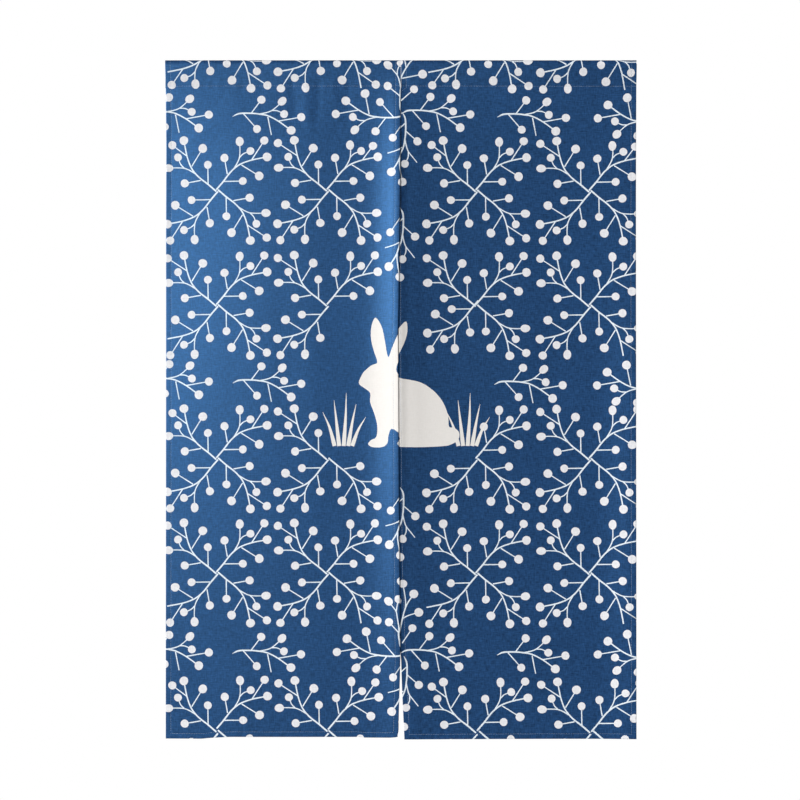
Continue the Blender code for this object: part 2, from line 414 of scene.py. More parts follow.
def offsets(panel, across, run):
    """How far the front and the back face stand from the middle of the cloth."""
    side, lower, flap = edge_distances(panel, across, run)
    nearest = np.minimum(side, lower)
    below = soft_step((run - FLAP_END) / FLAP_FADE)
    hem = HEM_EXTRA * below * (1.0 - soft_step((nearest - HEM_WIDTH) / HEM_STEP + 0.5))
    thick = SHEET + hem
    bend = np.clip(np.minimum(nearest, flap) / (thick / 2), 0.0, 1.0)
    roundness = np.sqrt(1.0 - (1.0 - bend) ** 2)
    groove = GROOVE * np.exp(-((nearest - HEM_WIDTH) / GROOVE_WIDTH) ** 2)
    groove = groove + GROOVE * np.exp(-((run - POCKET_DEPTH) / GROOVE_WIDTH) ** 2)
    centre = -hem / 2
    front = centre + thick / 2 * roundness - groove
    back = centre - thick / 2 * roundness + groove * 0.5
    return front, np.minimum(back, front)


def puckers(panel, across, run):
    """Ripples along the rows of stitches, which fade away from them."""
    side, lower, _ = edge_distances(panel, across, run)
    along_side = np.sin(run * SIDE_RIPPLES[0] + 0.7) + 0.8 * np.sin(run * SIDE_RIPPLES[1] + across * 9)
    along_low = np.sin(across * LOW_RIPPLES[0] + 1.9) + 0.8 * np.sin(across * LOW_RIPPLES[1] + 0.4)
    near_side = np.exp(-(np.abs(side - HEM_WIDTH) / PUCKER_REACH) ** 2)
    near_low = np.exp(-(np.abs(lower - HEM_WIDTH) / PUCKER_REACH) ** 2)
    near_pocket = np.exp(-((run - POCKET_DEPTH) / (PUCKER_REACH * 1.3)) ** 2)
    hanging = soft_step((run - ROD_LOW) / 0.02)
    waves = along_side * near_side * hanging + along_low * (near_low + near_pocket * hanging)
    return PUCKER * waves


def face(side):
    """A function that gives the front (0) or back (1) face of a panel as points in space."""
    def points(panel, across, run):
        normal = outward(panel, across, run, middle)
        shift = offsets(panel, across, run)[side] + puckers(panel, across, run)
        return middle(panel, across, run) + normal * shift[:, None]
    return points


front_face, back_face = face(0), face(1)

# %% [markdown]
# ## The print, charted by hand
# ## The print, charted
# The print is a berry branch, repeated. One arm is charted below, as places on a main
# stem, a fork and twigs, and a berry at the end of each. Four arms at right angles make a
# windmill. Single arms and crosses of four fill the rows between, and a few berries are
# missing where the print leaves them out. Beside the slit some arms are drawn differently,
# because the seam takes up a strip of the print.
#
# The chart is in millimetres, with x to the right and y up from the start of the arm.

# %% One arm
STEM_START = ((-1.5, 1.5), (11, 16), (20.5, 28.5))
HOOKED_START = ((0, 0), (3.5, 11), (12.5, 22), (22, 31.5))    # where a stem begins alone
STEM_REST = ((29, 37.5), (41.5, 46.5), (61, 53.5), (88.5, 59))
OTHER_STEMS = {
    # kind of arm: its stem, where it is not the usual one
    "single tall": ((0, 0), (1.5, 10), (7, 19), (15, 29.5)) + STEM_REST,
    "single slit": ((0, 0), (6, 9), (16, 20), (30, 31), (44.5, 41), (57, 49), (70, 54.7), (88.5, 59)),
}
STEM_WIDTH, TWIG_WIDTH = 2.9, 2.15
TWIGS = {
    # berry: the twig that carries it, up to the berry
    "A": ((18, 29),),
    "B": ((29, 37.5), (36, 49), (39.5, 58), (40.5, 70)),
    "C": ((39.5, 58), (47, 65)),
    "D": ((61, 53.5),),
    "F": ((43, 45),),
    "G": ((11, 16),),
}
OTHER_TWIGS = {
    # kind of arm: the twigs that leave another stem elsewhere
    "single tall": {"A": ((15.5, 30),), "C": ((37.5, 60), (46.5, 67)),
                    "B": ((19, 33), (24, 39.5), (31.5, 50.5), (37.5, 60), (39, 70))},
    "single slit": {"D": ((60.5, 50.5), (71, 61.7)), "F": ((44.7, 40.9), (56.5, 37.4)), "G": ((14.5, 9.5),)},
}
HOOKED_TWIGS = {"G": ((8, 17.5),)}            # on a stem that begins alone
BERRIES = {
    # berry: centre x, y, width, height
    "A": (13, 57.5, 14.5, 14.5),
    "B": (40, 86.5, 14, 17),
    "C": (59, 69.5, 14, 14),
    "D": (83.5, 88, 14.5, 14.5),
    "E": (88.5, 59, 15.5, 15.5),
    "F": (74.5, 25.5, 15.5, 15.5),
    "G": (45.5, 16.5, 14, 14),
}
MOVED_BERRIES = {
    # kind of arm: the berries that its drawing has elsewhere
    "windmill": {},
    "near D": {"D": (80.5, 79.5)},
    "nearer D": {"D": (82.5, 85)},
    "near B and D": {"B": (39.5, 80), "D": (80, 78.5)},
    "top": {"B": (39.5, 80), "D": (81.5, 81.5)},
    "single": {"B": (40, 82.5)},
    "single near A": {"A": (14.6, 55.9), "B": (40, 82.5)},
    "single slit": {"D": (87, 85.3), "F": (72.7, 29.1)},
    "single right": {"A": (15.4, 55.4), "B": (41.8, 84), "D": (84, 90)},
    "single tall": {"A": (15.5, 55), "B": (40, 82.5), "C": (55.5, 73.5), "D": (80.5, 93.5)},
    "single low": {"A": (15.4, 55.4), "B": (41.8, 84), "D": (84.7, 91.5)},
}
BARE_SHARE = 0.88                 # how far a twig is drawn where its berry is missing
BERRY_SIDES = 20
UNSTEADY = (0.02, 0.015)          # how far a berry's outline wavers, as shares of its size
rng = np.random.default_rng(11)


def spline(points, steps=4):
    """A smooth line through a few points."""
    points = np.asarray(points, float)
    ends = np.vstack([2 * points[0] - points[1], points, 2 * points[-1] - points[-2]])
    line = []
    for a, b, c, d in zip(ends, ends[1:], ends[2:], ends[3:]):
        for t in np.arange(steps) / steps:
            line.append(0.5 * (2 * b + (c - a) * t + (2 * a - 5 * b + 4 * c - d) * t ** 2
                               + (3 * b - a - 3 * c + d) * t ** 3))
    return np.array(line + [points[-1]])


def ribbon(points, width, start=1.0, tip=0.8):
    """The outline of a painted stroke along some points, as wide at its ends as start and tip say."""
    line = spline(points) if len(points) > 2 else np.asarray(points, float)
    way = np.gradient(line, axis=0)
    across = np.stack([-way[:, 1], way[:, 0]], 1) / np.linalg.norm(way, axis=1)[:, None]
    place = np.linspace(0.0, 1.0, len(line))
    half = width / 2 * np.interp(place, (0.0, 0.12, 1.0), (start, 1.0, tip))[:, None]
    return np.vstack([line + across * half, (line - across * half)[::-1]])


def berry(x, y, width, height):
    """A round berry, drawn with a slightly unsteady hand."""
    turn = 2 * math.pi * np.arange(BERRY_SIDES) / BERRY_SIDES
    wobble = 1.0 + UNSTEADY[0] * np.sin(2 * turn + rng.uniform(0, 6))
    wobble = wobble + UNSTEADY[1] * np.sin(3 * turn + rng.uniform(0, 6))
    return np.stack([x + width / 2 * wobble * np.cos(turn), y + height / 2 * wobble * np.sin(turn)], 1)


def arm(kind, bare=""):
    """Outlines of one arm: its strokes, and its berries without those of the bare twigs."""
    alone = kind.startswith("single")
    stem = OTHER_STEMS.get(kind, (HOOKED_START if alone else STEM_START) + STEM_REST)
    twigs = TWIGS | (HOOKED_TWIGS if alone else {}) | OTHER_TWIGS.get(kind, {})
    strokes, berries = [ribbon(stem, STEM_WIDTH, start=0.3 if alone else 1.0)], []
    for name, (x, y, width, height) in BERRIES.items():
        x, y = MOVED_BERRIES[kind].get(name, (x, y))
        if name in twigs:
            twig = np.array(twigs[name] + ((x, y),))
            if name in bare:
                twig[-1] = twig[-2] + (twig[-1] - twig[-2]) * BARE_SHARE
            strokes.append(ribbon(twig, TWIG_WIDTH))
        if name not in bare:
            berries.append(berry(x, y, width, height))
    return strokes, berries


def on_panel(outline, place, turn=0.0):
    """An outline in millimetres, turned and set down at a place of the cloth, in metres."""
    c, s = math.cos(math.radians(turn)), math.sin(math.radians(turn))
    turned = outline @ np.array([[c, s], [-s, c]])
    return np.stack([place[0] + turned[:, 0], place[1] - turned[:, 1]], 1) / 1000.0


# %% Where the arms go, in millimetres across and down from the top edge
NE, NW, SW, SE = 0, 90, 180, 270              # the charted arm points north-east
EAST, NORTH, WEST, SOUTH = -47, 43, 133, 223  # arms that point straight out
ROWS = {"left": (-39.5, 230, 433, 704, 906, 1185.5), "right": (-39.5, 230.5, 433.5, 705, 907.5, 1187)}
COLUMNS = {"left": (-325, -129.5), "right": (133.5, 334.5)}
LEFT_OUT = ((-129.5, 2, SE), (-129.5, 3, NE), (133.5, 3, NW))
BARE_ENDS = {                                 # the arm that lacks its end berry, in some rows
    -325: (SW, (0, 2, 4)),
    133.5: (SW, (0, 4)),
    -129.5: (SE, (0, 4)),
    334.5: (SE, (0, 2, 4)),
}
ODD_ARMS = {
    # column and row, or the middle of a cross, and direction: kind of arm, moved right and down
    (6, 96, NORTH): ("single near A", -2, 0.5),
    (6, 96, SOUTH): ("single slit", 1.5, -1.5),
    (8, 1046.5, NORTH): ("single tall", -3, -3.5),
    (8, 1046.5, SOUTH): ("single slit", 0, 0),
    (1, 94.5, SOUTH): ("single right", 1.4, -1.8),
    (-1, 1047, NORTH): ("single slit", -1, -1),
    (-1, 1047, SOUTH): ("single low", 5.8, 5.3),
    (-325, 0, SW): ("top", 1.3, 1.5),
    (-325, 0, SE): ("windmill", 1, 0.5),
    (-129.5, 0, SW): ("windmill", 0.8, 1.3),
    (-129.5, 0, SE): ("nearer D", 0, 0),
    (133.5, 0, SW): ("top", 3.2, 2.3),
    (133.5, 0, SE): ("windmill", 3.9, 1.4),
    (334.5, 0, SW): ("windmill", 0.3, 2.8),
    (334.5, 0, SE): ("windmill", 2.1, 3),
    (-325, 1, NW): ("near D", 0, 0),
    (-325, 3, NW): ("near D", 0, 0),
    (-325, 5, NW): ("near D", 0, 0),
    (-325, 5, NE): ("windmill", 0.5, -3),
    (-325, 5, SW): ("windmill", 0, 2.5),
    (-129.5, 5, NW): ("windmill", 1, -1.2),
    (-129.5, 5, NE): ("nearer D", 1.8, -1.5),
    (-129.5, 5, SW): ("windmill", 0, 2),
    (-129.5, 1, NE): ("near B and D", 0, 0),
    (133.5, 1, NW): ("near D", 0, 0),
    (133.5, 2, SW): ("windmill", 1.6, -10.4),
    (133.5, 5, NW): ("near D", 0.4, 0),
    (133.5, 5, NE): ("windmill", 2.4, -0.9),
    (133.5, 5, SE): ("windmill", 3, 0),
    (133.5, 5, SW): ("windmill", 0, 2.5),
    (334.5, 1, NE): ("near B and D", 0, 0),
    (334.5, 5, NW): ("windmill", 1.4, 0.4),
    (334.5, 5, NE): ("windmill", 3.4, 1.4),
    (334.5, 5, SE): ("windmill", 4, 0),
    (334.5, 5, SW): ("windmill", 0, 2.5),
}
CROSSES = {"left": ((6, 96), (8, 1046.5)), "right": ((1, 94.5), (-1, 1047))}
SLIT_ARMS = {
    # kind of arm, and the places from which it points down, with its twigs F and B bare
    "left": ("single slit", ((3, 261.5), (4, 752))),
    "right": ("single right", ((-1.8, 261), (-1.3, 754.2))),
}
SINGLE_ARMS = {
    # centre x, y, direction, bare twigs
    "left": ((-297.5, 99.5, EAST, "F"), (-297.5, 570.5, EAST, "F"), (-298, 1048.5, EAST, "F"),
             (-461, 95, EAST, "F"), (-461, 566.5, EAST, "F"), (-461, 1045.5, EAST, "F")),
    "right": ((170.3, 100.2, EAST, "F"), (165, 573, EAST, "F"), (169.5, 1051.5, EAST, "F"),
              (469.5, 103, WEST, ""), (468.5, 575.5, WEST, ""), (469.5, 1051.5, WEST, "")),
}


def branches(panel):
    """Every arm of a panel's print, as (place, direction, kind of arm, bare twigs)."""
    arms = []
    for column in COLUMNS[panel]:
        bare_way, bare_rows = BARE_ENDS[column]
        for row, drop in enumerate(ROWS[panel]):
            for way in (NE, NW, SW, SE):
                if (column, row, way) not in LEFT_OUT:
                    kind, right, down = ODD_ARMS.get((column, row, way), ("windmill", 0, 0))
                    bare = "E" if way == bare_way and row in bare_rows else ""
                    arms.append(((column + right, drop + down), way, kind, bare))
    for x, y in CROSSES[panel]:
        for way, bare in ((EAST, "F"), (NORTH, ""), (WEST, ""), (SOUTH, "FB")):
            kind, right, down = ODD_ARMS.get((x, y, way), ("single", 0, 0))
            arms.append(((x + right, y + down), way, kind, bare))
    kind, places = SLIT_ARMS[panel]
    arms += [(place, SOUTH, kind, "FB") for place in places]
    arms += [((x, y), way, "single", bare) for x, y, way, bare in SINGLE_ARMS[panel]]
    return arms


# %% [markdown]
# ## The figure across the slit
#
# A cream figure stands across the slit, between the branches. It is this lesson's own
# drawing: a sitting hare with its ears up, between two tufts of grass. One smooth closed
# line gives its outline. Half of it is printed on each panel, and the few millimetres that
# the lap hides are left out between the halves, as on real cloth.

# %% The hare and the grass
HARE_PLACE = (3.5, 681.5)                     # between its feet, in millimetres across and down
HARE_UNIT = 1.8                               # millimetres for one step of the drawing
HARE = (
    (-44, 66), (-40, 73), (-33, 79), (-27, 82), (-30, 92), (-33, 104), (-33, 116), (-29, 126),
    (-23, 118), (-20, 106), (-18, 94), (-16, 87), (-13, 95), (-8, 107), (-1, 117), (5, 122),
    (6, 112), (3, 101), (-2, 91), (-7, 81), (-8, 73), (-2, 67), (8, 65), (20, 62),
    (32, 54), (41, 43), (46, 30), (47, 19), (52, 18), (57, 13), (56, 6), (50, 2),
    (43, 0), (24, -1), (6, -1), (-5, 0), (-7, 4), (-1, 7), (-6, 13), (-13, 17),
    (-16, 10), (-17, 3), (-22, -1), (-32, -1), (-36, 2), (-33, 6), (-28, 9), (-27, 20),
    (-30, 32), (-34, 43), (-34, 52), (-40, 57), (-45, 61),
)
GRASS_BLADES = (
    # foot x, tip x, tip height, bend
    (-16, -37, 60, -9),
    (-8, -17, 81, -5),
    (0, 4.5, 93.5, 3.5),
    (8, 22, 74, 7),
    (15, 39, 51, 10.5),
)
GRASS_WIDTH = 7
GRASS_PLACES = ((-104.5, 681.5), (121, 681.5))
HIDDEN_BY_LAP = 6.5                           # print lost between the panels


def figure(panel):
    """Outlines of the hare and the grass on a panel."""
    shift = HIDDEN_BY_LAP / 2 if panel == "left" else -HIDDEN_BY_LAP / 2
    closed = np.array(HARE + HARE[:3], float) * HARE_UNIT
    shapes = [(spline(closed, 3)[3:-4], HARE_PLACE)]
    for place in GRASS_PLACES:
        for foot, tip, height, bend in GRASS_BLADES:
            blade = ((foot, 0.0), (foot + bend, height * 0.55), (tip, height))
            shapes.append((ribbon(blade, GRASS_WIDTH, tip=0.08), place))
    return [on_panel(outline, (x + shift, y)) for outline, (x, y) in shapes]


# %% [markdown]
# ## Cutting the print into the cloth
#
# A picture on the cloth would blur close up, and this lesson uses none. Instead the
# print's outlines are cut into the flat panel, like a knife through paper. Blender's
# constrained triangulation takes a set of points and outlines and returns triangles, with
# a note of the outlines that each one lies in. That note picks the triangle's material.
#
# The points are rows and columns, close together at the hems, where the cloth bends
# sharply, and about five millimetres apart elsewhere.

# %% The points and the triangles
EDGE_STEPS = (0.0, 0.00012, 0.0004, 0.0009, 0.0030, 0.0060, 0.0082, 0.0088, 0.0094, 0.0104, 0.0130)
GRID = 0.0055
FLAP_STEPS = (0.0, 0.00006, 0.0002)           # from the flap's end
POCKET_STEPS = (-0.002, -0.0008, 0.0, 0.0008, 0.002)
FLAP_GRID_START, ROD_GRID = 0.0015, 0.0018
GROUND, STROKE, BERRY, FIGURE = range(4)      # what a triangle shows


def spaced(start, end, step):
    """Even places from start to end, about a step apart."""
    return np.linspace(start, end, max(2, round((end - start) / step) + 1))


def flat_rows():
    """The rows of points, from the flap's end down to the hem, as drops."""
    turn_top = touch_drop - round_length
    parts = [flat_top + np.array(FLAP_STEPS),
             spaced(flat_top + FLAP_GRID_START, turn_top, GRID)[:-1],
             spaced(turn_top, touch_drop, ROD_GRID)[:-1],
             spaced(touch_drop, POCKET_DEPTH + POCKET_STEPS[0], GRID)[:-1],
             POCKET_DEPTH + np.array(POCKET_STEPS),
             spaced(FLAP_END, HEM_NOMINAL - EDGE_STEPS[-1], GRID)[:-1],
             HEM_NOMINAL - np.array(EDGE_STEPS)[::-1]]
    return np.concatenate(parts)


def flat_points(panel):
    """Rows of points over a flat panel, each row from its left edge to its right edge."""
    rows = []
    steps = np.array(EDGE_STEPS)
    for nominal in flat_rows():
        low, high = sides(panel, max(nominal, 0.0))
        inside = spaced(low + steps[-1], high - steps[-1], GRID)[1:-1]
        across = np.concatenate([low + steps, inside, high - steps[::-1]])
        hem = read(PANELS[panel]["hem"], across)
        run = nominal * hem / HEM_NOMINAL if nominal > 0 else np.full(len(across), nominal)
        from_hem = HEM_NOMINAL - nominal
        if from_hem <= EDGE_STEPS[-1]:
            run = hem - from_hem
        rows.append(np.stack([across, run], 1))
    return rows


def finer(outline, step=0.0015):
    """The outline with more points where it goes over the rod, so that it bends with the cloth."""
    points = []
    for start, end in zip(outline, np.roll(outline, -1, axis=0)):
        near_rod = min(start[1], end[1]) < touch_drop
        parts = max(1, math.ceil(np.hypot(*(end - start)) / step)) if near_rod else 1
        points += [start + (end - start) * k / parts for k in range(parts)]
    return np.array(points)


def cut_panel(panel):
    """The flat panel as points and triangles, and what each triangle shows."""
    rows = flat_points(panel)
    rim = np.vstack([rows[0], [r[-1] for r in rows[1:-1]], rows[-1][::-1],
                     [r[0] for r in rows[-2:0:-1]]])
    strokes, berries = [], []
    for place, way, kind, bare in branches(panel):
        more_strokes, more_berries = arm(kind, bare)
        strokes += [on_panel(outline, place, way) for outline in more_strokes]
        berries += [on_panel(outline, place, way) for outline in more_berries]
    groups = [(GROUND, [rim]), (STROKE, strokes), (BERRY, berries), (FIGURE, figure(panel))]

    points, outlines, shows = [np.vstack([r[1:-1] for r in rows[1:-1]])], [], []
    count = len(points[0])
    low, high = rim.min(0) - 0.002, rim.max(0) + 0.002
    for kind, group in groups:
        for outline in group:
            if (outline.max(0) < low).any() or (outline.min(0) > high).any():
                continue
            x, y = outline.T
            if np.sum(x * np.roll(y, -1) - y * np.roll(x, -1)) < 0:
                outline = outline[::-1]
            if kind != GROUND:
                outline = finer(outline)
            points.append(outline)
            outlines.append(list(range(count, count + len(outline))))
            shows.append(kind)
            count += len(outline)
    flat = [Vector(p) for p in np.vstack(points)]
    found = delaunay_2d_cdt(flat, [], outlines, 1, 1e-7)
    verts, faces, sources = found[0], found[2], found[5]
    kept, kinds = [], []
    for triangle, inside in zip(faces, sources):
        kind = [shows[i] for i in inside]
        if GROUND in kind:
            kept.append(triangle)
            kinds.append(max(kind))
    return np.array([tuple(v) for v in verts]), np.array(kept), np.array(kinds)


# %% [markdown]
# ## The panels as closed cloth
#
# The flat triangles are used twice, for the front face and, turned round, for the back
# face. The two share the points along the edges, where they come together round the turned
# hem, so the cloth is one closed skin. Each corner gets the exact direction of the surface
# as its normal, so thin triangles beside the print don't show in the shading.

# %% Build a panel
def closed_cloth(panel, flat, triangles, kinds, materials):
    """One mesh for a panel: the front and back faces, joined along the rim."""
    used, triangles = np.unique(triangles, return_inverse=True)
    triangles = triangles.reshape(-1, 3)
    flat = flat[used]
    a, b, c = (flat[triangles[:, k]] for k in range(3))
    turn = (b - a)[:, 0] * (c - a)[:, 1] - (b - a)[:, 1] * (c - a)[:, 0]
    triangles[turn < 0] = triangles[turn < 0][:, ::-1]
    # Run counts down the cloth, so a turn to the left when drawn flat faces the back.
    triangles = triangles[:, ::-1]

    across, run = flat[:, 0], flat[:, 1]
    places = [front_face(panel, across, run), back_face(panel, across, run)]
    normals = [outward(panel, across, run, front_face), -outward(panel, across, run, back_face)]

    edges = np.sort(np.concatenate([triangles[:, [0, 1]], triangles[:, [1, 2]], triangles[:, [2, 0]]]), 1)
    edges, uses = np.unique(edges, axis=0, return_counts=True)
    on_rim = np.zeros(len(flat), bool)
    on_rim[edges[uses == 1].ravel()] = True
    places[0][on_rim] = (places[0][on_rim] + places[1][on_rim]) / 2
    inner = np.flatnonzero(~on_rim)
    back_index = np.arange(len(flat))
    back_index[inner] = len(flat) + np.arange(len(inner))

    mesh = bpy.data.meshes.new("cloth_" + panel)
    verts = np.vstack([places[0], places[1][inner]])
    faces = np.vstack([triangles, back_index[triangles[:, ::-1]]])
    mesh.from_pydata(verts.tolist(), [], faces.tolist())
    for material in materials:
        mesh.materials.append(material)
    slots = np.concatenate([kinds, kinds + len(materials) // 2])
    mesh.polygons.foreach_set("material_index", slots.astype(np.int32))

    corners = np.concatenate([triangles.ravel(), triangles[:, ::-1].ravel()])
    uv = mesh.uv_layers.new(name="flat_cloth")
    uv.data.foreach_set("uv", flat[corners].astype(np.float32).ravel())
    looks = np.concatenate([normals[0][triangles.ravel()], normals[1][triangles[:, ::-1].ravel()]])
    mesh.shade_smooth()
    mesh.normals_split_custom_set(looks.tolist())
    piece = bpy.data.objects.new("cloth_" + panel, mesh)
    bpy.context.scene.collection.objects.link(piece)
    print(mesh.name, len(faces), "triangles,", int(on_rim.sum()), "rim points")
    return piece


# %% [markdown]
# ## Sums between nodes
#
# A material's pattern is arithmetic. Wiring it by hand hides the sums, so a small class
# wraps a node's output and turns Python's signs into Math nodes. Everything else is made
# by one method that takes a node's type, its settings and its inputs.

# %% The node helper
class Socket:
    """One output of a node. Sums with numbers or other sockets add Math nodes."""

    def __init__(self, nodes, out):
        self.nodes, self.out = nodes, out

    def maths(self, operation, first, second=0.0):
        return self.nodes.make("ShaderNodeMath", {"operation": operation}, {0: first, 1: second})

    def __add__(self, other):
        return self.maths("ADD", self, other)

    def __sub__(self, other):
        return self.maths("SUBTRACT", self, other)

    def __rsub__(self, other):
        return self.maths("SUBTRACT", other, self)

    def __mul__(self, other):
        return self.maths("MULTIPLY", self, other)

    __radd__, __rmul__ = __add__, __mul__

    def sine(self):
        return self.maths("SINE", self)

    def size(self):
        return self.maths("ABSOLUTE", self)

    def floor(self):
        return self.maths("FLOOR", self)

    def larger(self, other):
        return self.maths("MAXIMUM", self, other)


class Material:
    """A material under construction, with one method that makes any node."""

    def __init__(self, name):
        self.material = bpy.data.materials.new(name)
        self.material.use_nodes = True
        self.tree = self.material.node_tree
        self.shader = self.tree.nodes["Principled BSDF"]

    def make(self, kind, settings=None, inputs=None, output=0):
        node = self.tree.nodes.new(kind)
        for name, value in (settings or {}).items():
            setattr(node, name, value)
        for name, value in (inputs or {}).items():
            self.put(node.inputs[name], value)
        return Socket(self, node.outputs[output])

    def put(self, socket, value):
        if isinstance(value, Socket):
            self.tree.links.new(value.out, socket)
        else:
            socket.default_value = value

    def feed(self, **values):
        for name, value in values.items():
            self.put(self.shader.inputs[name.replace("_", " ")], value)

    def blend(self, share, first, second):
        """A colour between two, by a share from 0 to 1."""
        settings = {"data_type": "RGBA", "clamp_factor": True}
        return self.make("ShaderNodeMix", settings, {0: share, 6: first, 7: second}, output=2)

    def noise(self, across, along, detail=2.0):
        place = self.make("ShaderNodeCombineXYZ", None, {0: across, 1: along})
        return self.make("ShaderNodeTexNoise", None,
                         {"Vector": place, "Scale": 1.0, "Detail": detail, "Roughness": 0.55})


# %% [markdown]
# ## The cloth's finish
#
# The cloth is a plain weave of slightly uneven yarn, printed on one side. All its
# materials share one surface: threads that pass over and under each other, thicker yarns
# that run both ways, a faint mottle in the dye, and painted shade that darkens the gaps
# between the threads. They differ in colour and shine. The blue ground is dyed deep, with
# a soft blue shine. The white is a matter pigment that half covers the weave. At the back
# the print shows through, paler.

# %% Weave and dye
THREAD = 0.00062                  # from one thread to the next
SLUB_REACH, SLUB_PITCH = 0.010, 0.0021        # length and spacing of the thicker stretches
CLOUDS_ACROSS, CLOUDS_ALONG = 14.0, 9.0       # patches of the dye in a metre
YARN_SHADE, CLOUD_SHADE = 30.0, 3.0           # how strongly each darkens, for a mottle of one
GAP_PAINTED_SHADE, EVEN_SHADE = 0.22, 0.4             # painted shade between the threads, and the even share everywhere
WEAVE_DEPTH = 0.00008
WEAVE_STRENGTH = 0.7


def woven(name, colour, deep, relief=1.0, mottle=0.10):
    """A woven material whose colour runs from colour to deep, with painted shade between the threads and
    thread relief.
    """
    cloth = Material(name)
    place = cloth.make("ShaderNodeUVMap", {"uv_map": "flat_cloth"})
    split = place.nodes.make("ShaderNodeSeparateXYZ", None, {0: place})
    across, along = split, Socket(cloth, split.out.node.outputs[1])

    warp, weft = across * (1 / THREAD), along * (1 / THREAD)
    over = ((weft + warp.floor()) * math.pi).maths("COSINE", (weft + warp.floor()) * math.pi)
    under = ((warp + weft.floor() + 1.0) * math.pi).maths("COSINE", (warp + weft.floor() + 1.0) * math.pi)
    warp_top = (warp * math.pi).sine().size() * (over * 0.5 + 0.5)
    weft_top = (weft * math.pi).sine().size() * (under * 0.5 + 0.5)
    threads = warp_top.larger(weft_top)

    long_yarn = cloth.noise(across * (1 / SLUB_PITCH), along * (1 / SLUB_REACH))
    cross_yarn = cloth.noise(across * (1 / SLUB_REACH) + 7.3, along * (1 / SLUB_PITCH))
    clouds = cloth.noise(across * CLOUDS_ACROSS, along * CLOUDS_ALONG + 3.1, detail=3.0)
    yarns = long_yarn * 0.5 + cross_yarn * 0.5

    shade = (yarns - 0.5) * (mottle * YARN_SHADE) + (clouds - 0.5) * (mottle * CLOUD_SHADE)
    # Painted shade: the gaps where the threads dip under each other are darkened towards deep.
    shade = shade + (1.0 - threads) * GAP_PAINTED_SHADE + EVEN_SHADE
    cloth.feed(Base_Color=cloth.blend(shade, (*colour, 1), (*deep, 1)))
    height = threads * 0.6 + yarns * 0.8
    cloth.feed(Normal=cloth.make("ShaderNodeBump", None, {
        "Height": height, "Distance": WEAVE_DEPTH * relief, "Strength": WEAVE_STRENGTH}))
    return cloth


def plain(cloth, roughness, specular, tint):
    """Sets what is the same all over: roughness, strength of shine and its tint."""
    cloth.feed(Roughness=roughness, Specular_IOR_Level=specular, Specular_Tint=(*tint, 1))
    return cloth.material


UNTINTED = (1.0, 1.0, 1.0)
MATT = (0.72, 0.1, UNTINTED)      # roughness, strength of shine and its tint

blue = plain(woven("printed_blue", (0.018, 0.066, 0.190), (0.003, 0.012, 0.042)),
             0.62, 1.0, (0.15, 0.465, 1.0))
white = plain(woven("print_white", (0.85, 0.91, 0.95), (0.66, 0.74, 0.82), 0.6, 0.08), *MATT)
berry_white = plain(woven("berry_white", (0.885, 0.885, 0.905), (0.69, 0.69, 0.72), 0.6, 0.08),
                    *MATT)
cream = plain(woven("figure_cream", (0.89, 0.86, 0.83), (0.80, 0.77, 0.73), 0.6, 0.05), *MATT)
back_blue = plain(woven("back_blue", (0.125, 0.215, 0.345), (0.085, 0.155, 0.265)),
                  0.62, 0.6, (0.5, 0.75, 1.0))
back_pale = plain(woven("back_pale", (0.56, 0.61, 0.67), (0.46, 0.51, 0.58), 0.8, 0.06),
                  0.72, 0.3, UNTINTED)
CLOTH_MATERIALS = [blue, white, berry_white, cream, back_blue, back_pale, back_pale, back_pale]

# %% Make both panels
cloths = {}
for panel in PANELS:
    cloths[panel] = closed_cloth(panel, *cut_panel(panel), CLOTH_MATERIALS)

# %% [markdown]
# ## Stitches
#
# Rows of stitches close the pocket, hold the hems and join the panels above the slit. Each
# row is a path on the cloth, with the surface's direction stored at every point. Geometry
# Nodes walk along it and set one small thread at each step, so the stitch length, the
# thread and their small irregularities are inputs that can be changed in one place.

# %% The stitch tree
STITCH_PITCH = 0.0030
STITCH_SHARE = 0.80               # of the pitch that the thread shows before it dives
THREAD_THICK = 0.00042
STITCH_VARIES = (0.86, 1.10)      # shortest and longest, as shares of that length


